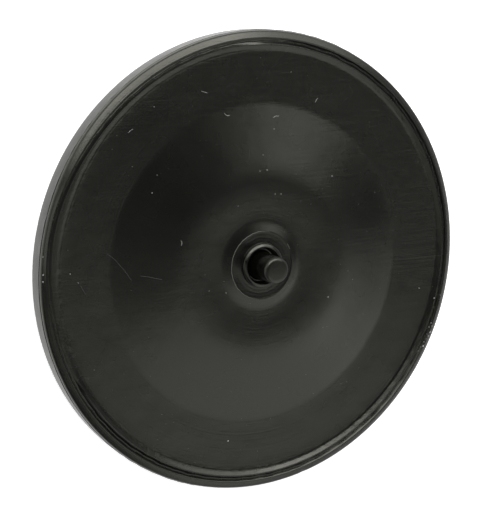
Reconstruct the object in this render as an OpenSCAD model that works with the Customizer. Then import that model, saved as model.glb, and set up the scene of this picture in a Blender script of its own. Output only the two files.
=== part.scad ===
// Diaphragm seal: one moulded rubber disc, turned about the Z axis.
// It lies on the flat seat of its rim bead, with the pin side up. All sizes are in millimetres.

/* [Rim bead] */
// Outside diameter, over the parting rib
rim_d = 100; // [88:0.1:130]
// Height of the rim from its seat to the inner edge of its outer land
rim_h = 5.9; // [5.5:0.1:10]
// Width of the seat ring under the rim
seat_w = 5.6; // [4.5:0.1:8]
// Rounding of the front outer edge
land_round = 1.8; // [0.3:0.1:2]
// Rounding of the rear outer edge
heel_round = 1; // [0.2:0.1:1.5]
// Rounding of the seat ring's inner edge
toe_round = 0.5; // [0.1:0.1:1]
// Height of the parting rib over the seat
parting_z = 4.4; // [3:0.1:4.6]
// How far the parting rib stands out of the flank
parting_rise = 0.12; // [0.05:0.01:0.4]
// Width of the parting rib at its root
parting_w = 0.45; // [0.2:0.05:1]
// How far the flank leans in from the parting rib to each face
draft = 0.12; // [0:0.02:0.4]

/* [Sealing ridge] */
// Width of the outer land, from the outside diameter to the trimming groove
land_w = 2.2; // [1.5:0.1:3]
// How far the outer land falls towards the outside
land_fall = 0.2; // [0:0.05:0.5]
// Width of the ridge, from its inner foot to the trimming groove
ridge_w = 1.7; // [1.5:0.1:2.4]
// Height of the ridge over the flat band
ridge_rise = 0.6; // [0.3:0.05:0.8]
// Width of the ridge's inner slope
slope_w = 0.8; // [0.5:0.05:0.9]
// Width of the ridge's flat crown, before rounding
crown_w = 0.3; // [0.25:0.05:0.4]
// Rounding of the crown's two edges
ridge_round = 0.1; // [0.05:0.05:0.15]
// Hollow rounding of the ridge's inner slope into the flat band
ridge_fillet = 1.3; // [0.2:0.05:2]
// Depth of the trimming groove under the outer land
groove_depth = 0.4; // [0.3:0.05:1]
// Width of the trimming groove's outer wall
groove_w = 0.25; // [0.15:0.05:0.6]
// Rounding of the land into the groove
groove_round = 0.15; // [0.05:0.05:0.4]

/* [Membrane] */
// Thickness of the membrane
web = 2.6; // [1.5:0.1:3.2]
// How far the flat band lies below the outer land
band_drop = 0.2; // [0:0.1:1.4]
// Diameter where the flat band turns into the dome
crease_d = 68.5; // [60:0.5:80]
// Diameter of the dome's crest
crest_d = 38.5; // [30:0.5:50]
// Height of the crest over the flat band, before rounding
crest_rise = 2.7; // [2:0.1:5]
// Rounding of the crest
crest_round = 30; // [4:0.5:40]
// Rounding of the crease
crease_round = 7; // [2:0.5:20]
// How far the valley lies outside the boss
valley_w = 3.5; // [2:0.1:5]
// Height of the valley over the flat band
valley_rise = 1.6; // [1.2:0.1:2]
// Rounding of the valley, up to the boss
valley_round = 12; // [4:0.5:16]

/* [Boss] */
// Width of the boss face round the collar
shelf_w = 2.6; // [1.5:0.1:4]
// Height of the boss face over the flat band
boss_rise = 2.6; // [2.2:0.1:5]
// Height of the thin witness line round the boss face
witness_rise = 0.12; // [0.05:0.01:0.4]
// Width of the witness line
witness_w = 0.3; // [0.1:0.05:0.6]
// Wall of the collar
collar_w = 1; // [0.6:0.1:2.5]
// Height of the collar over the boss face
collar_rise = 1.3; // [0.9:0.1:2]
// How far the collar's top falls towards the outside
collar_fall = 0.6; // [0.2:0.1:0.8]
// Gap between the pin and the pocket's wall
pocket_w = 0.95; // [0.3:0.05:2]
// Depth of the pocket from the collar's top
pocket_depth = 2.4; // [1:0.1:3.2]

/* [Pin] */
// Diameter of the pin
pin_d = 5.8; // [3:0.1:9]
// Length of the pin above the collar
pin_rise = 5.6; // [3:0.1:12]
// Rounding of the pin's tip
pin_round = 0.9; // [0.3:0.1:1.8]

/* [Hidden] */
arc_step = 12;    // the most degrees for one step of a rounded corner
least_steps = 4;  // steps of a gentle corner
sharp = 0;        // a corner that keeps its edge
slit = 0.1;       // rounding at the bottom of the trimming groove
$fn = 180;

rim_r = rim_d / 2;
flank_r = rim_r - parting_rise;
face_r = flank_r - draft;
seat_r = rim_r - seat_w;
land_r = rim_r - land_w;
groove_r = land_r - groove_w;
foot_r = groove_r - ridge_w;
crown_r = foot_r + slope_w;
crease_r = crease_d / 2;
crest_r = crest_d / 2;
pin_r = pin_d / 2;
pocket_r = pin_r + pocket_w;
collar_r = pocket_r + collar_w;
boss_r = collar_r + shelf_w;
valley_r = boss_r + valley_w;

band_z = rim_h - band_drop;
ridge_z = band_z + ridge_rise;
groove_z = rim_h - groove_depth;
crest_z = band_z + crest_rise;
valley_z = band_z + valley_rise;
boss_z = band_z + boss_rise;
witness_z = boss_z + witness_rise;
collar_z = boss_z + collar_rise;
pocket_z = collar_z - pocket_depth;
hub_back_z = min(pocket_z, valley_z) - web;
pin_z = collar_z + pin_rise;

root_round = web / 2;
lip_round = collar_w / 2;
collar_fillet = collar_fall / 2;
pocket_round = pocket_w / 2;

function xy(c) = [c[0], c[1]];
function unit(v) = v / norm(v);
function next(c, i) = (i + 1) % len(c);
function last(c, i) = (i + len(c) - 1) % len(c);
function edge(c, i, j) = xy(c[j]) - xy(c[i]);

// Half of the angle between the two edges that meet at corner i.
function half_angle(c, i) = acos(unit(edge(c, i, last(c, i))) * unit(edge(c, i, next(c, i)))) / 2;

// How far along its edges the rounding of corner i would reach.
function wish(c, i) = c[i][2] / tan(half_angle(c, i));

// The part of the edge from corner i to corner j that i may take: two roundings share it.
function room(c, i, j) =
    wish(c, i) == 0 ? 0 : norm(edge(c, i, j)) * wish(c, i) / (wish(c, i) + wish(c, j));

// Corner i as points: one where it is sharp, else a tangent arc.
function corner(c, i) =
    let (
        p = xy(c[i]),
        a = unit(edge(c, i, last(c, i))),
        b = unit(edge(c, i, next(c, i))),
        half = half_angle(c, i),
        reach = min(wish(c, i), room(c, i, last(c, i)), room(c, i, next(c, i)))
    )
    reach == 0 ? [p] :
    let (
        middle = p + unit(a + b) * reach / cos(half),
        spoke = p + a * reach - middle,
        turn = (180 - 2 * half) * (cross(a, b) < 0 ? 1 : -1),
        steps = max(least_steps, ceil(abs(turn) / arc_step)),
        start = atan2(spoke[1], spoke[0])
    )
    [for (k = [0 : steps]) let (t = start + turn * k / steps) middle + norm(spoke) * [cos(t), sin(t)]];

// A closed outline through corners given as [distance from the axis, height, rounding].
function rounded(c) = [for (i = [0 : len(c) - 1]) each corner(c, i)];

// The side that faces the seat, from the axis outwards.
back_side = [
    [0, hub_back_z, sharp],
    [valley_r, hub_back_z, valley_round],
    [crest_r, crest_z - web, crest_round],
    [crease_r, band_z - web, crease_round],
    [seat_r, band_z - web, root_round],
    [seat_r, 0, toe_round]
];

// The flank, leaning in both ways from the thin rib that the mould's joint leaves.
flank = [
    [face_r, 0, heel_round],
    [flank_r, parting_z - parting_w / 2, sharp],
    [rim_r, parting_z, sharp],
    [flank_r, parting_z + parting_w / 2, sharp],
    [face_r, rim_h - land_fall, land_round]
];

// The outer land, the groove that the flash is trimmed along, and the ridge that seals.
sealing_face = [
    [land_r, rim_h, groove_round],
    [groove_r, groove_z, slit],
    [crown_r + crown_w, ridge_z, ridge_round],
    [crown_r, ridge_z, ridge_round],
    [foot_r, band_z, ridge_fillet]
];

// The flat band, the dome with its crest, and the valley that runs up to the boss.
front_side = [
    [crease_r, band_z, crease_round],
    [crest_r, crest_z, crest_round],
    [valley_r, valley_z, valley_round],
    [boss_r, witness_z, sharp],
    [boss_r - witness_w, witness_z, sharp],
    [boss_r - witness_w, boss_z, sharp]
];

// The collar, the pocket inside it and the pin that stands in the pocket.
hub = [
    [collar_r, boss_z, collar_fillet],
    [collar_r, collar_z - collar_fall, lip_round],
    [pocket_r, collar_z, collar_fillet],
    [pocket_r, pocket_z, pocket_round],
    [pin_r, pocket_z, pocket_round],
    [pin_r, pin_z, pin_round],
    [0, pin_z, sharp]
];

// The one turned section, with its fine roundings, is what gives the part its look and its seal.
module diaphragm() {
    color([0.13, 0.13, 0.12])
        rotate_extrude()
            polygon(rounded(concat(back_side, flank, sealing_face, front_side, hub)));
}

diaphragm();
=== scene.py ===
# %% [markdown]
# # A moulded rubber diaphragm seal
# The real part is one disc of black rubber. A housing clamps its thick rim bead, its thin domed
# membrane gives way under pressure, and a boss with a collar and a pin stands in the middle. The
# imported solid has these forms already. This lesson makes the surface that a camera sees: the
# finest roundings, the marks of moulding and trimming, the rubber's dull gloss, and its dust.
#
# The solid's own mesh could be shown with a bevel on it, but its facets would break up the gloss.
# So the surface is worked out again from the disc's section, and it stands in for the solid.

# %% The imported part
import math

import bpy
import numpy as np
from mathutils import Matrix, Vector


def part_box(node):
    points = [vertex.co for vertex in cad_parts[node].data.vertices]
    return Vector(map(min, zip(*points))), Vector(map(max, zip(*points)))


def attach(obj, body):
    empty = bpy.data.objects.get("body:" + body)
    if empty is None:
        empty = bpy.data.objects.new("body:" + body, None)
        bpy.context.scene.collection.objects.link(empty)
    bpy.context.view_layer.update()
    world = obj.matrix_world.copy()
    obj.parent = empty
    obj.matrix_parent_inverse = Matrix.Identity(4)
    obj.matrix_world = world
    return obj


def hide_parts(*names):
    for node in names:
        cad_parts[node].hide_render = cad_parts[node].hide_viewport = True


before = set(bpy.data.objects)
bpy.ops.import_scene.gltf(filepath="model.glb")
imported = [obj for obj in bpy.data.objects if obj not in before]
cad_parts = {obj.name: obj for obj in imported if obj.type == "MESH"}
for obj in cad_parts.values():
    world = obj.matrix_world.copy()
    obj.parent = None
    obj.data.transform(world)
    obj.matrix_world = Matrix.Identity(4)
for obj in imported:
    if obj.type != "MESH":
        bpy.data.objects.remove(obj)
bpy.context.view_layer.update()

low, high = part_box("diaphragm")
MM = 0.001
FULL_TURN = 2 * math.pi
print("The solid spans", [round(v / MM, 2) for v in high - low], "mm")

# %% [markdown]
# ## The camera
# The photograph looks down on the part from one side, from about half a metre away. A camera
# could be aimed at the part by a constraint, but its roll and the part's place in the picture
# would still have to be found by trial. Here two angles and a distance say where it stands, and
# the three directions that follow are the columns of its matrix. The lens shift then puts the
# middle of the membrane on its pixel without turning the camera.

# %% Camera
FRAME_PX = (485, 512)       # the picture's width and height
MIDDLE_PX = (256.1, 263.1)  # where the middle of the membrane lies in the picture
PX_PER_M = 4667.0           # scale at the middle of the membrane
VIEW_LEAN = 30.4            # degrees between the part's axis and the line of sight
VIEW_ROLL = 20.27           # degrees that the lean's direction falls below the picture's right
VIEW_DISTANCE = 0.496       # from the camera to the middle of the membrane, in metres
SENSOR_MM = 36.0
MIDDLE = np.array([0, 0, 5.7 * MM])


def camera_directions():
    """The camera's right, up and backward directions, for a camera that leans over -X: backward
    is -sin(lean) along X and cos(lean) along Z, and right and up roll about it."""
    cl, sl = math.cos(math.radians(VIEW_LEAN)), math.sin(math.radians(VIEW_LEAN))
    cr, sr = math.cos(math.radians(VIEW_ROLL)), math.sin(math.radians(VIEW_ROLL))
    return np.array([(cl * cr, sr, sl * cr), (-cl * sr, cr, -sl * sr), (-sl, 0.0, cl)])


def placed(thing, directions, place):
    """Puts an object somewhere: its matrix has its own X, Y and Z as the first three columns."""
    matrix = np.eye(4)
    matrix[:3, :3] = np.column_stack(directions)
    matrix[:3, 3] = place
    thing.matrix_world = Matrix(matrix.tolist())
    bpy.context.scene.collection.objects.link(thing)
    return thing


def add_camera():
    """The lens is as long as the picture's scale and the distance ask for."""
    right, up, back = camera_directions()
    long_side = max(FRAME_PX)
    data = bpy.data.cameras.new("camera")
    data.sensor_width = SENSOR_MM
    data.lens = SENSOR_MM * PX_PER_M * VIEW_DISTANCE / long_side
    data.shift_x = (FRAME_PX[0] / 2 - MIDDLE_PX[0]) / long_side
    data.shift_y = (MIDDLE_PX[1] - FRAME_PX[1] / 2) / long_side
    data.clip_start, data.clip_end = 0.02, 20
    camera = bpy.data.objects.new("camera", data)
    return placed(camera, (right, up, back), MIDDLE + back * VIEW_DISTANCE)


camera = add_camera()
bpy.context.scene.camera = camera
print("Lens", round(camera.data.lens, 1), "mm")

# %% [markdown]
# ## The section
# The mould was turned on a lathe, so one outline carried round the axis gives the whole disc. The
# outline could be drawn as a curve by hand, but then no size in it could be read or changed.
# Here it is a list of corners, each given as a distance from the axis, a height and a rounding.

# %% Sizes of the rim, in millimetres from the axis and from the seat
EDGE = 0.04                     # the rounding that even a sharp moulded edge has
rim_r = high.x / MM
flank_r = rim_r - 0.12          # the parting rib stands out of the flank
face_r = flank_r - 0.12         # and the flank leans in from it, both ways
seat_r = rim_r - 5.6
top_z = 5.9
edge_z = top_z - 0.57           # where the outer land meets the flank
parting_z, parting_half = 4.4, 0.225
slit_r, slit_z = flank_r - 0.12, parting_z + 0.1  # the fine slit along the top of the rib
print("Rim", round(rim_r, 2), "mm from the axis and", top_z, "mm high")

# %% Sizes of the sealing face
land_r = rim_r - 2.2
lip_r, lip_z = land_r + 0.45, top_z + 0.2
groove_r, groove_z = land_r - 0.25, top_z - 0.4
foot_r = groove_r - 1.75        # the ridge's inner foot
crown_r = foot_r + 0.92         # and its crown
flat_z = top_z - 0.2
ridge_z = flat_z + 0.6
print("Ridge from", round(foot_r, 2), "to", round(groove_r, 2), "mm")

# %% Sizes of the membrane and the hub
web = 2.6
crease_r = 34.25
crest_r, crest_z = 19.25, flat_z + 2.7
valley_r, valley_z = 9.3, flat_z + 2.25
boss_r, boss_z = 7.45, flat_z + 2.6
witness_w, witness_z = 0.3, boss_z + 0.12  # the thin line round the boss face
pin_r, pin_z = 2.9, 15.2
pocket_r = pin_r + 0.95
collar_r, collar_z = pocket_r + 1.0, boss_z + 1.3
pocket_z = collar_z - 2.4
hollow_r = 10.95                # edge of the hollow's middle, under the boss
hollow_z = min(pocket_z, valley_z) - web
print("Hub", boss_r, "mm from the axis, pin", pin_z, "mm high")

# %% Corners, from the axis under the disc to the axis on top of it
under_side = [
    (0, hollow_z, 0), (hollow_r, hollow_z, 12), (crest_r, crest_z - web, 30),
    (crease_r, flat_z - web, 7), (seat_r, flat_z - web, web / 2), (seat_r, 0, 0.5),
]
flank = [
    (face_r, 0, 1.0), (flank_r, parting_z - parting_half, EDGE), (rim_r, parting_z, EDGE),
    (slit_r, slit_z, 0.03), (flank_r, parting_z + parting_half, EDGE), (face_r, edge_z, 0.7),
]
sealing_face = [
    (lip_r, lip_z, 0.3), (groove_r + 0.18, groove_z, 0.1), (groove_r - 0.05, groove_z, 0.1),
    (crown_r + 0.2, ridge_z, 0.1), (crown_r, ridge_z, 0.12), (foot_r, flat_z, 1.3),
]
membrane = [
    (crease_r, flat_z, 7), (crest_r, crest_z, 30), (valley_r, valley_z, 6),
    (boss_r, witness_z, EDGE), (boss_r - witness_w, witness_z, EDGE),
    (boss_r - witness_w, boss_z, EDGE),
]
hub = [
    (collar_r, boss_z, 0.06), (collar_r, collar_z - 0.6, 0.45), (pocket_r, collar_z, 0.3),
    (pocket_r, pocket_z, 0.475), (pin_r, pocket_z, 0.475), (pin_r, pin_z, 0.9), (0, pin_z, 0),
]
corners = under_side + flank + sealing_face + membrane + hub
print(len(corners), "corners")

# %% [markdown]
# ## Rounding the corners
# Real rubber has no sharp corner, and each rounding catches the light in its own line. A bevel
# modifier could round them, but all by one width. Here every corner becomes a tangent arc of its
# own, and where two arcs want more than the edge between them holds, they share it.


# %% From corners to a fine outline
def length(v):
    """Lengths of vectors, kept as a last axis of one."""
    return np.linalg.norm(v, axis=-1, keepdims=True)


def arc(point, back, ahead, half, reach, step=10.0, least=2):
    """Points of the arc at one corner. Its middle is on the bisector, reach / cos(half) away; it
    starts at reach along the edge behind and turns by 180 degrees less the corner's angle."""
    middle = point + (back + ahead) / length(back + ahead) * reach / math.cos(half)
    spoke = point + back * reach - middle
    to_right = back[0] * ahead[1] < back[1] * ahead[0]
    turn = (math.pi - 2 * half) * (1 if to_right else -1)
    steps = max(least, math.ceil(abs(math.degrees(turn)) / step))
    angle = math.atan2(spoke[1], spoke[0]) + turn * np.linspace(0, 1, steps + 1)
    return middle + length(spoke) * np.column_stack([np.cos(angle), np.sin(angle)])


def rounded(corners):
    """The outline with its arcs. An arc wants rounding / tan(half its corner's angle) of both its
    edges, and gets the smaller of that and its share of either edge."""
    corners = np.array(corners, float)
    point, rounding = corners[:, :2], corners[:, 2]
    behind, before = np.roll(point, 1, 0) - point, np.roll(point, -1, 0) - point
    back, ahead = behind / length(behind), before / length(before)
    half = np.arccos(np.clip((back * ahead).sum(1), -1, 1)) / 2
    wish = rounding / np.tan(half)
    share_back = wish / np.maximum(wish + np.roll(wish, 1), 1e-9)
    share_ahead = wish / np.maximum(wish + np.roll(wish, -1), 1e-9)
    room = np.minimum(length(behind)[:, 0] * share_back, length(before)[:, 0] * share_ahead)
    reach = np.minimum(wish, room)
    pieces = [arc(*corner) if corner[-1] > 0 else corner[0][None]
              for corner in zip(point, back, ahead, half, reach)]
    return np.concatenate(pieces)


def filled_in(line, gap):
    """The line with points added so that no two are further apart than gap."""
    out = []
    for p, q in zip(line[:-1], line[1:]):
        n = max(1, math.ceil(np.linalg.norm(q - p) / gap))
        out.append(p + (q - p) * np.arange(n)[:, None] / n)
    return np.concatenate(out + [line[-1:]])


GAP = 3.0                       # the most millimetres between two points
outline = filled_in(rounded(corners), GAP)
print("The outline has", len(outline), "points")

# %% [markdown]
# ## Turning the outline into a surface
# The Screw modifier could turn the outline, but the real disc isn't quite round, and a modifier
# gives no hold on single places. So the surface is a grid: one direction runs along the outline,
# the other round the axis, and the whole grid is worked out at once. The two ends of the outline
# lie on the axis and become single points, which close the surface with fans of triangles.


# %% Grid to mesh
def grid_faces(rows, columns):
    """Quads of a grid that closes on itself in its second direction."""
    row = np.arange(rows - 1)[:, None] * columns
    here = np.arange(columns)[None]
    beside = (here + 1) % columns
    quads = np.stack([row + here, row + beside, row + columns + beside, row + columns + here], -1)
    return quads.reshape(-1, 4)


def new_mesh(name, points, faces, triangles=()):
    """A smooth mesh object, from points in metres."""
    mesh = bpy.data.meshes.new(name)
    corner_lists = [*faces.tolist(), *np.array(triangles).reshape(-1, 3).tolist()]
    mesh.from_pydata(points.tolist(), [], corner_lists)
    mesh.validate()
    mesh.shade_smooth()
    piece = bpy.data.objects.new(name, mesh)
    bpy.context.scene.collection.objects.link(piece)
    return piece


def turned(name, line, around, uneven):
    """Carries a line whose ends are on the axis round Z: x = r cos(angle), y = r sin(angle) and
    z = height, with angle from 0 to a full turn. The function uneven says how much further out
    and how much higher each place of the real moulding lies."""
    angle = np.arange(around) * FULL_TURN / around
    r, z = line[1:-1, :1], line[1:-1, 1:]
    out, up = uneven(r, z, angle)
    r, z = r + out, z + up
    grid = np.stack([r * np.cos(angle), r * np.sin(angle), z], -1)
    ends = np.array([[0, 0, line[0, 1]], [0, 0, line[-1, 1]]])
    points = np.concatenate([grid.reshape(-1, 3), ends]) * MM
    here = np.arange(around)
    beside = (here + 1) % around
    last = (len(grid) - 1) * around
    first_end = np.full(around, len(points) - 2)
    under = np.column_stack([first_end, beside, here])
    over = np.column_stack([first_end + 1, last + here, last + beside])
    return new_mesh(name, points, grid_faces(len(grid), around), np.concatenate([under, over]))


print("A grid of 3 by 4 points has", len(grid_faces(3, 4)), "faces")

# %% [markdown]
# ## Trimmed by hand
# The flash round a moulded disc is cut off by hand along a groove, so the groove wanders. On this
# disc it also swerves out towards the edge at one side, and there the ridge is low and wide. The
# parting rib is cut off unevenly, and the outer edge has one small notch. A displacement texture
# could shift the surface, but not one form of the section at a time. Here each mark is an offset
# that is limited to its own form by its distance from the axis and its height.


# %% Waves and hills
def wander(angle, fewest, most, seed):
    """A closed wavy line round the disc, mostly between -1 and 1: the sum of sine waves that go
    round from fewest to most times, each from a random start, over the root of half their count."""
    turns = np.arange(fewest, most + 1)
    phase = np.random.default_rng(seed).uniform(0, FULL_TURN, len(turns))
    return np.sin(np.multiply.outer(angle, turns) + phase).sum(-1) / math.sqrt(len(turns) / 2)


def hill(x, middle, half_width):
    """A smooth hill, 1 at the middle and small beyond its half width: exp(-(x / half width)^2)."""
    return np.exp(-(((x - middle) / half_width) ** 2))


def groove_wander(angle):
    """How the knife strayed along the groove, between about -1 and 1."""
    return wander(angle, 9, 90, 1)


print("The hill falls to", round(float(hill(1, 0, 1)), 2), "at its half width")

# %% Marks of the trimming; lengths in millimetres, angles in radians
WANDER, SWERVE, RIB_CUT, NOTCH = 0.05, 0.95, 0.08, 0.22
SWERVE_ANGLE, SWERVE_HALF = math.radians(190), 0.35     # where the groove swerves, and how far
LOW_ANGLE, LOW_HALF, LOW_END = math.radians(172), math.radians(60), 0.1  # where the ridge is low
NOTCH_ANGLE, NOTCH_HALF = math.radians(360 - 53), 0.012


def swerve_out(angle):
    """How far the groove swerves outwards: a hill round the disc."""
    return SWERVE * hill(angle, SWERVE_ANGLE, SWERVE_HALF)


def outwards(r, z, angle):
    """The swerve moves all between the crown and the flank; the wander moves the groove alone; the
    rib and the notch are cut back."""
    on_top = z > parting_z
    moved = np.interp(r, [crown_r + 0.06, crown_r + 0.16, land_r + 0.3, face_r - 0.3], [0, 1, 1, 0])
    groove = hill(r, groove_r, 0.3) * on_top
    rib = hill(z, parting_z, 0.3) * (r > flank_r - 0.05)
    edge = hill(z, parting_z, 0.8) * (r > face_r - 0.3)
    cut = (1 + np.tanh(wander(angle, 15, 120, 2))) / 2
    return (moved * on_top * swerve_out(angle) + WANDER * groove * groove_wander(angle)
            - RIB_CUT * rib * cut - NOTCH * edge * hill(angle, NOTCH_ANGLE, NOTCH_HALF))


def upwards(r, z, angle):
    """On the low side the ridge and the groove follow one gentle line of their own. The side
    begins and ends softly: half of 1 + tanh((its half width - distance from its middle) / end)."""
    gentle = np.interp(r, [foot_r, crown_r + 0.3, groove_r - 0.05, groove_r + 0.2],
                       [flat_z, flat_z + 0.24, flat_z + 0.06, flat_z + 0.06])
    on_ridge = (z > parting_z) * (r > foot_r) * (r < groove_r + 0.2)
    low_side = (1 + np.tanh((LOW_HALF - np.abs(angle - LOW_ANGLE)) / LOW_END)) / 2
    return on_ridge * low_side * (gentle - z)


def hand_trimmed(r, z, angle):
    """How much further out and how much higher each place lies than in the true section."""
    return outwards(r, z, angle), upwards(r, z, angle)


AROUND = 400                    # points round the disc
rubber = turned("diaphragm_rubber", outline, AROUND, hand_trimmed)
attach(rubber, "root")
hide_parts("diaphragm")
print("The surface has", len(rubber.data.polygons), "faces")

# %% [markdown]
# ## Black rubber
# The rubber is almost black, so all that is seen of it is its dull gloss, and what makes it look
# like rubber is how that gloss breaks up. A picture of worn rubber could be laid over it, but it
# would fit only this one view and size. Instead a few noise textures give very low bumps, each
# with a cause: swells of the moulding, rings from the turned mould, streaks from wiping, and a
# fine grain. Their heights are in millimetres and add up to one bump.


# %% Helpers for materials
def add_node(tree, kind, inputs=(), **settings):
    """A shader node with its settings; an input is a plain value or another node's output."""
    node = tree.nodes.new("ShaderNode" + kind)
    for name, value in settings.items():
        setattr(node, name, value)
    for name, value in dict(inputs).items():
        if isinstance(value, bpy.types.NodeSocket):
            tree.links.new(value, node.inputs[name])
        else:
            node.inputs[name].default_value = value
    return node


def weighted_sum(tree, parts, start=0.0):
    """The sum of each output times its weight, on top of a start."""
    total = start
    for output, weight in parts:
        inputs = {0: output, 1: weight, 2: total}
        total = add_node(tree, "Math", inputs, operation="MULTIPLY_ADD").outputs[0]
    return total


def product(tree, a, b):
    """One output times another."""
    return add_node(tree, "Math", {0: a, 1: b}, operation="MULTIPLY").outputs[0]


def scaled(tree, vector, factors):
    """A vector with each of its three parts times a factor."""
    return add_node(tree, "VectorMath", {0: vector, 1: factors}, operation="MULTIPLY").outputs[0]


def ramp(tree, value, start, end, low=0.0, high=1.0):
    """Goes smoothly from low to high while the value goes from start to end."""
    inputs = {"Value": value, "From Min": start, "From Max": end, "To Min": low, "To Max": high}
    return add_node(tree, "MapRange", inputs, interpolation_type="SMOOTHSTEP").outputs["Result"]


def noise(tree, scale, detail, **inputs):
    """A noise texture at a place, or along one line if it is given W alone."""
    settings = {"noise_dimensions": "1D"} if "W" in inputs else {}
    inputs = {**inputs, "Scale": scale, "Detail": detail}
    return add_node(tree, "TexNoise", inputs, **settings).outputs[0]


def new_material(name, color, roughness):
    """A plain material; returns it with its node tree and its shader."""
    material = bpy.data.materials.new(name)
    material.use_nodes = True
    shader = material.node_tree.nodes["Principled BSDF"]
    shader.inputs["Base Color"].default_value = (*color, 1)
    shader.inputs["Roughness"].default_value = roughness
    return material, material.node_tree, shader


print(len(bpy.data.materials), "materials so far")

# %% Rubber
BLACK = (0.002, 0.0021, 0.0017)
WARM_GLOSS = (1, 1, 0.88, 1)     # the gloss has a little less blue in it
DULL, HUB_DULL, TIP_DULL, CLOUDY = 0.25, 0.2, 0.08, 0.04  # roughness, and what is added to it
WIPED_ANGLE = math.radians(23)   # direction that the disc was wiped in
WIPED_FROM, WIPED_TO, WIPED_LEAST = 0.0, 30 * MM, 0.25    # streaks show most on the +Y side
SWELL, RINGS, STREAKS, GRAIN, SCALLOPS = 0.09, 0.012, 0.03, 0.016, 0.12  # heights in millimetres


def rubber_height(tree, place, radius, y):
    """The height of all bumps, in millimetres. The scallops are waves in the ridge's inner foot:
    noise about zero, times a ramp up to the foot and a ramp down to the crown."""
    across = add_node(tree, "VectorRotate", {"Vector": place, "Angle": -WIPED_ANGLE},
                      rotation_type="Z_AXIS").outputs[0]
    swell = noise(tree, 130.0, 2.0, Vector=place)
    rings = noise(tree, 2400.0, 2.0, W=radius)
    streaks = noise(tree, 1.0, 3.0, Vector=scaled(tree, across, (70, 2600, 70)))
    grain = noise(tree, 3000.0, 1.0, Vector=place)
    scallops = weighted_sum(tree, [(noise(tree, 450.0, 3.0, Vector=place), 1.0)], -0.5)
    wiped = ramp(tree, y, WIPED_FROM, WIPED_TO, WIPED_LEAST, 1.0)
    foot = product(tree, ramp(tree, radius, (foot_r - 0.8) * MM, foot_r * MM),
                   ramp(tree, radius, crown_r * MM, foot_r * MM))
    height = weighted_sum(tree, [
        (swell, SWELL), (rings, RINGS), (product(tree, streaks, wiped), STREAKS),
        (grain, GRAIN), (product(tree, scallops, foot), SCALLOPS),
    ])
    return height, swell


def rubber_roughness(tree, radius, z, swell):
    """The hub is a little glossier than the membrane, the pin's worn tip is duller, and the
    moulding's swells are a little cloudy."""
    body = ramp(tree, radius, (boss_r - 0.4) * MM, boss_r * MM, HUB_DULL, DULL)
    tip = ramp(tree, z, (pin_z - 1.6) * MM, (pin_z - 0.8) * MM, 0.0, TIP_DULL)
    return weighted_sum(tree, [(body, 1.0), (tip, 1.0), (product(tree, swell, CLOUDY), 1.0)])


def black_rubber():
    """Distances from the axis are the length of the place with its height taken out."""
    material, tree, shader = new_material("black_rubber", BLACK, DULL)
    shader.inputs["Specular Tint"].default_value = WARM_GLOSS
    place = add_node(tree, "TexCoord").outputs["Object"]
    level = scaled(tree, place, (1, 1, 0))
    radius = add_node(tree, "VectorMath", {0: level}, operation="LENGTH").outputs["Value"]
    split = add_node(tree, "SeparateXYZ", {0: place}).outputs
    height, swell = rubber_height(tree, place, radius, split["Y"])
    bump = add_node(tree, "Bump", {"Height": height, "Strength": 1.0, "Distance": MM})
    tree.links.new(bump.outputs[0], shader.inputs["Normal"])
    roughness = rubber_roughness(tree, radius, split["Z"], swell)
    tree.links.new(roughness, shader.inputs["Roughness"])
    return material


black_rubber_material = black_rubber()
rubber.data.materials.append(black_rubber_material)
print("Rubber has", len(black_rubber_material.node_tree.nodes), "nodes")

# %% [markdown]
# ## Where things lie on the rubber
# Grains, fibres and scratches lie where the photograph shows them. They could be pushed about by
# eye, but a line of sight gives their places at once: it leaves the camera through a pixel and
# meets the rubber. The disc is round, so its height at a distance from the axis is read from the
# outline, and no ray has to be cast at the mesh.

# %% From a pixel to the rubber
top_line = outline[np.argmax(outline[:, 0]):][::-1]


def height(r):
    """How high the rubber stands at a distance from the axis."""
    return np.interp(r, top_line[:, 0], top_line[:, 1])


def on_rubber(px):
    """X and Y where the lines of sight through pixels meet the rubber, in millimetres. Each line
    is cut at one level, the rubber's height there is the next level, and a few turns settle it."""
    right, up, back = camera_directions()
    x, y = ((np.array(px, float) - MIDDLE_PX) * (1, -1) / (PX_PER_M * VIEW_DISTANCE)).T
    ray = x[:, None] * right + y[:, None] * up - back
    eye = MIDDLE + back * VIEW_DISTANCE
    level = np.full(len(px), MIDDLE[2])
    for _ in range(12):
        place = eye + ray * ((level - eye[2]) / ray[:, 2])[:, None]
        level = height(np.hypot(place[:, 0], place[:, 1]) / MM) * MM
    return place[:, :2] / MM


def lying_on_rubber(flat, lift):
    """Points at X and Y with the rubber's height under them, plus a lift."""
    return np.concatenate([flat, (height(np.hypot(*flat.T)) + lift)[:, None]], 1)


def fine_piece(name, points, faces, material):
    """A piece of fine detail, from points in millimetres."""
    piece = new_mesh(name, points * MM, faces)
    piece.data.materials.append(material)
    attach(piece, "root")
    return piece


print("The middle's line of sight meets the rubber at X, Y =", on_rubber([MIDDLE_PX])[0].round(2))

# %% [markdown]
# ## Dust
# Rubber that has lain about collects pale grains. A particle system could scatter them, but the
# larger ones have their own places, and a few hundred small solids are light enough to be one
# mesh. Every grain is the same eight-sided solid, stretched and turned at random from one seed.

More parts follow.
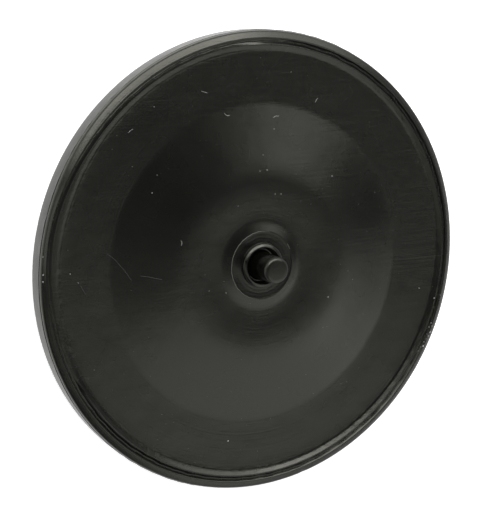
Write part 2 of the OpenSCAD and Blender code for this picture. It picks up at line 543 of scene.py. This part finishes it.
# %% Dust
GRAINS = [  # size in millimetres, and the pixels where grains of that size lie
    (0.17, [(267, 170), (70, 274), (328, 297), (275, 194), (228, 441), (419, 288), (434, 298)]),
    (0.12, [(332, 176), (260, 171), (263, 155), (157, 175), (291, 72), (78, 283), (94, 370),
            (238, 206), (209, 291), (226, 293), (152, 193), (154, 107), (281, 194), (274, 129)]),
    (0.2, [(43, 275), (43, 282), (431, 323), (430, 332), (428, 336), (423, 346)]),
    (0.11, [(43, 257), (45, 266), (52, 267), (58, 231), (432, 326), (429, 327), (427, 334),
            (426, 339), (424, 342), (421, 347), (418, 351), (440, 295)]),
]
FINE_DUST, FINE_DUST_R = 170, 46    # how many finer grains, and how far out
FINE_DUST_SIZE = (0.02, 0.055)
FLATNESS, LIFT = 0.6, 0.3           # a grain's height and lift, as shares of its size
lint_material = new_material("pale_lint", (0.42, 0.42, 0.4), 0.9)[0]


def add_dust():
    """Grain k is its eight faces with corners at size x stretch along X, Y and Z, turned about Z:
    x' = x cos(t) - y sin(t), y' = x sin(t) + y cos(t). Fine grains lie evenly over the disc, so
    their distance from the axis is the root of a random share."""
    rng = np.random.default_rng(7)
    r = FINE_DUST_R * np.sqrt(rng.uniform(0.03, 1, FINE_DUST))
    angle = rng.uniform(0, FULL_TURN, FINE_DUST)
    scattered = np.column_stack([r * np.cos(angle), r * np.sin(angle)])
    flat = np.concatenate([on_rubber(px) for _, px in GRAINS] + [scattered])
    size = np.concatenate([np.full(len(px), each) for each, px in GRAINS]
                          + [rng.uniform(*FINE_DUST_SIZE, FINE_DUST)])
    corner = np.array([[1, 0, 0], [0, 1, 0], [-1, 0, 0], [0, -1, 0], [0, 0, 1], [0, 0, -1]])
    side = np.array([[0, 1, 4], [1, 2, 4], [2, 3, 4], [3, 0, 4],
                     [1, 0, 5], [2, 1, 5], [3, 2, 5], [0, 3, 5]])
    turn = rng.uniform(0, math.pi, len(flat))[:, None]
    stretch = rng.uniform(0.6, 1.3, (len(flat), 1, 3))
    x, y, z = np.moveaxis(corner * stretch * size[:, None, None] * (1, 1, FLATNESS), -1, 0)
    turned_x = x * np.cos(turn) - y * np.sin(turn)
    turned_y = x * np.sin(turn) + y * np.cos(turn)
    shape = np.stack([turned_x, turned_y, z], -1)
    points = lying_on_rubber(flat, LIFT * size)[:, None] + shape
    faces = side + len(corner) * np.arange(len(flat))[:, None, None]
    return fine_piece("dust", points.reshape(-1, 3), faces.reshape(-1, 3), lint_material)


dust = add_dust()
print(len(dust.data.polygons) // 8, "grains")

# %% [markdown]
# ## Fibres and scratches
# Six short lint fibres lie on the membrane, and three scratches run across it. A curve with a
# bevel would do for both, but it leaves blunt ends. A tube worked out round a path can thin out
# towards its ends. A scratch is such a tube too: it is sunk into the rubber, so that only a pale
# scuffed line of it is seen.


# %% A tube along a path
def tube(path, radius, sides=5):
    """Points and faces of a thin tube: each ring is path + radius (cos t side + sin t over), square
    to the path, and the radius falls off as the root of 1 - (share of the way to an end)^4."""
    ahead = np.gradient(path, axis=0)
    ahead /= length(ahead)
    side = np.cross(ahead, (0, 0, 1))
    side /= length(side)
    over = np.cross(side, ahead)
    t = np.arange(sides) * FULL_TURN / sides
    taper = radius * np.sqrt(np.clip(1 - np.linspace(-1, 1, len(path)) ** 4, 0.01, 1))
    ring = np.cos(t)[None, :, None] * side[:, None] + np.sin(t)[None, :, None] * over[:, None]
    points = path[:, None] + taper[:, None, None] * ring
    return points.reshape(-1, 3), grid_faces(len(path), sides)


def tubes(name, paths, radius, material):
    """Several tubes as one piece."""
    points, faces, first = [], [], 0
    for path in paths:
        p, f = tube(path, radius)
        points.append(p)
        faces.append(f + first)
        first += len(p)
    return fine_piece(name, np.concatenate(points), np.concatenate(faces), material)


def line_on_rubber(px, steps, lift):
    """A curve on the rubber through a few pixels. Its corners are rounded off twice: each point
    becomes a quarter of its neighbours each and a half of itself."""
    corner = on_rubber(px)
    whole = np.linspace(0, len(corner) - 1, steps)
    part = np.arange(len(corner))
    flat = np.column_stack([np.interp(whole, part, corner[:, k]) for k in (0, 1)])
    for _ in range(2):
        flat[1:-1] = (flat[:-2] + 2 * flat[1:-1] + flat[2:]) / 4
    return lying_on_rubber(flat, lift)


print("A path of 12 points makes", len(grid_faces(12, 5)), "faces")

# %% Fibres and scratches
FIBRE_RADIUS, FIBRE_LIFT, FIBRE_STEPS = 0.036, 0.03, 12
SCRATCH_RADIUS, SCRATCH_LIFT, SCRATCH_STEPS = 0.05, -0.005, 24
FIBRES_PX = [
    [(201, 91), (204, 92), (208, 93)], [(224, 113), (227, 116), (230, 115)],
    [(273, 118), (275, 116), (279, 116)], [(315, 103), (316, 100), (318, 98)],
    [(128, 133), (131, 130), (133, 129)], [(181, 240), (182, 243), (181, 246)],
]
SCRATCHES_PX = [
    [(106, 253), (114, 259), (124, 270), (132, 281)], [(140, 276), (149, 277), (163, 280)],
    [(80, 285), (86, 295)],
]
fibre_paths = [line_on_rubber(px, FIBRE_STEPS, FIBRE_LIFT) for px in FIBRES_PX]
fibres = tubes("fibres", fibre_paths, FIBRE_RADIUS, lint_material)
scuffed_rubber_material = new_material("scuffed_rubber", (0.035, 0.035, 0.032), 0.55)[0]
scratch_paths = [line_on_rubber(px, SCRATCH_STEPS, SCRATCH_LIFT) for px in SCRATCHES_PX]
scratches = tubes("scratches", scratch_paths, SCRATCH_RADIUS, scuffed_rubber_material)
print("Fibres:", len(fibres.data.polygons), "faces; scratches:", len(scratches.data.polygons))

# %% [markdown]
# ## Flash
# Where two pieces of a mould meet, a little rubber squeezes out. A thin line of it is left
# round the face of the boss, torn off at one side, and the trimming left a ragged fin along the
# groove. Both could be painted on, but they catch the light as edges do, so they are real forms:
# the line is two more tubes, and the fin is a strip with a foot in the rubber on either side.
# The line's tubes are also a paler grey than the rubber, which is a painted highlight.

# %% Flash on the boss and along the groove
BOSS_FLASH_RADIUS, BOSS_FLASH_WANDER, BOSS_FLASH_STEP = 0.075, 0.02, 1.5  # the step in degrees
BOSS_FLASH_ARCS = [(98, 287, 0.07), (46, 58, 0.09)]  # from and to in degrees, and the set-in
FIN_STEPS, FIN_WANDER = 2400, 0.03
FIN_FOOT, FIN_SUNK = 0.1, 0.08  # half the width of its foot, and how deep it goes in
FIN_LEAST, FIN_HEIGHT, FIN_LEAN = 0.05, 0.25, 0.05


def add_boss_flash():
    """Two arcs round the boss face: r = boss - set-in + a small wander."""
    paths = []
    for first, last, set_in in BOSS_FLASH_ARCS:
        angle = np.radians(np.linspace(first, last, round((last - first) / BOSS_FLASH_STEP)))
        r = boss_r - set_in + BOSS_FLASH_WANDER * wander(angle, 5, 40, 3)
        paths.append(np.column_stack([r * np.cos(angle), r * np.sin(angle), 0 * r + witness_z]))
    # The flash is the same black rubber; its paler grey is a painted highlight along the raised
    # line.
    painted_highlight_flash_material = new_material("flash", (0.09, 0.09, 0.08), 0.4)[0]
    return tubes("boss_flash", paths, BOSS_FLASH_RADIUS, painted_highlight_flash_material)


def add_groove_flash():
    """A ragged fin along the groove's outer edge. Its section is a tip between two feet that are
    sunk into the rubber, and its height is a wander cut off at zero."""
    angle = np.arange(FIN_STEPS) * FULL_TURN / FIN_STEPS
    ragged = np.clip(0.5 * wander(angle, 30, 400, 4) + 0.35 * wander(angle, 3, 20, 5), 0, 1.2)
    true_r = land_r + FIN_WANDER * groove_wander(angle)
    level = height(true_r) - FIN_SUNK
    r = true_r + swerve_out(angle)
    outer = np.stack([r + FIN_FOOT, level], -1)
    tip = np.stack([r + FIN_LEAN * ragged, level + FIN_LEAST + FIN_HEIGHT * ragged], -1)
    inner = np.stack([r - FIN_FOOT, level], -1)
    section = np.stack([outer, tip, inner])
    x, y = section[..., 0] * np.cos(angle), section[..., 0] * np.sin(angle)
    points = np.stack([x, y, section[..., 1]], -1).reshape(-1, 3)
    fin = fine_piece("groove_flash", points, grid_faces(3, FIN_STEPS), black_rubber_material)
    return fin


boss_flash = add_boss_flash()
groove_flash = add_groove_flash()
print("Flash has", len(boss_flash.data.polygons) + len(groove_flash.data.polygons), "faces")

# %% [markdown]
# ## The floor
# The part lies on a white sheet that is lit so well that its edge is lost. A white world behind a
# shadow catcher could do the same, but the rubber has to mirror the sheet as well as lie on it.
# So the floor is a large pale square that also glows a little.


# %% Floor
FLOOR_HALF = 3.0                    # half of its side, in metres
FLOOR_GREY, FLOOR_GLOW = 0.8, 0.75


def add_floor():
    """A square on the ground, with the part in its middle."""
    corner = np.array([[-1, -1, 0], [1, -1, 0], [1, 1, 0], [-1, 1, 0]])
    piece = new_mesh("floor", FLOOR_HALF * corner, np.array([[0, 1, 2, 3]]))
    material, _, shader = new_material("pale_floor", (FLOOR_GREY,) * 3, 0.9)
    shader.inputs["Emission Color"].default_value = (1, 1, 1, 1)
    shader.inputs["Emission Strength"].default_value = FLOOR_GLOW
    piece.data.materials.append(material)


add_floor()
print("Floor", 2 * FLOOR_HALF, "m wide")

# %% [markdown]
# ## Light
# All that shows the form of black rubber is what it mirrors, so each light is placed for the
# reflection that it gives. The round light lies in the dome's lower side and in the flat band
# beside it, the low and top lights in the dome's right and upper sides, and the long side light
# with its two ends in the ridge and in the near edge. The other three lift the left side a
# little. An environment picture could light it all at once, but no single reflection could then
# be moved. Overhead it stays dark, and near the ground the walls of the room are white.


# %% Lights
def add_soft_light(name, azimuth, elevation, size, radiance, shape="RECTANGLE", distance=1.2):
    """A flat lamp that faces the part, placed by two angles in degrees and a distance in metres.
    Its power is the brightness of its face times its area times pi."""
    a, e = math.radians(azimuth), math.radians(elevation)
    back = np.array([math.cos(e) * math.cos(a), math.cos(e) * math.sin(a), math.sin(e)])
    side = np.array([-math.sin(a), math.cos(a), 0.0])
    light = bpy.data.lights.new(name, "AREA")
    light.shape = shape
    light.size, light.size_y = size
    area = size[0] * size[1] * (math.pi / 4 if shape == "ELLIPSE" else 1)
    light.energy = radiance * math.pi * area
    lamp = bpy.data.objects.new(name, light)
    return placed(lamp, (side, np.cross(back, side), back), back * distance)


add_soft_light("round_light", -38, 43, (1.2, 1.2), 1.25, shape="ELLIPSE")
add_soft_light("low_light", 0, 38, (0.32, 0.26), 1.5)
add_soft_light("top_light", 38, 54, (0.36, 0.38), 2.0, shape="ELLIPSE")
add_soft_light("side_light", 114, 40, (1.2, 0.8), 4.8)
add_soft_light("side_light_far_end", 70, 34, (0.75, 0.7), 2.4)
add_soft_light("side_light_near_end", 153, 46, (0.55, 0.6), 2.0)
add_soft_light("left_light", 248, 54, (1.3, 0.4), 0.7)
add_soft_light("overhead_light", 270, 78, (0.5, 0.5), 0.2)
add_soft_light("front_light", 185, 20, (1.6, 0.5), 1.1)
print(len(bpy.data.lights), "lights")

# %% White walls round the part
WALL, CEILING = 0.45, 0.01          # brightness
WALL_TOP, CEILING_EDGE = 0.2, 0.5   # sine of the height at which one goes over into the other


def add_white_walls():
    """The brightness goes smoothly from the wall's to the ceiling's as the view rises."""
    world = bpy.data.worlds.new("white_walls")
    world.use_nodes = True
    tree = world.node_tree
    direction = add_node(tree, "TexCoord").outputs["Generated"]
    up = add_node(tree, "SeparateXYZ", {0: direction}).outputs["Z"]
    background = tree.nodes["Background"].inputs
    tree.links.new(ramp(tree, up, WALL_TOP, CEILING_EDGE, WALL, CEILING), background["Strength"])
    background["Color"].default_value = (1, 1, 1, 1)
    return world


bpy.context.scene.world = add_white_walls()
bpy.context.scene.view_settings.view_transform = "Standard"
print("Walls", WALL, "and ceiling", CEILING)
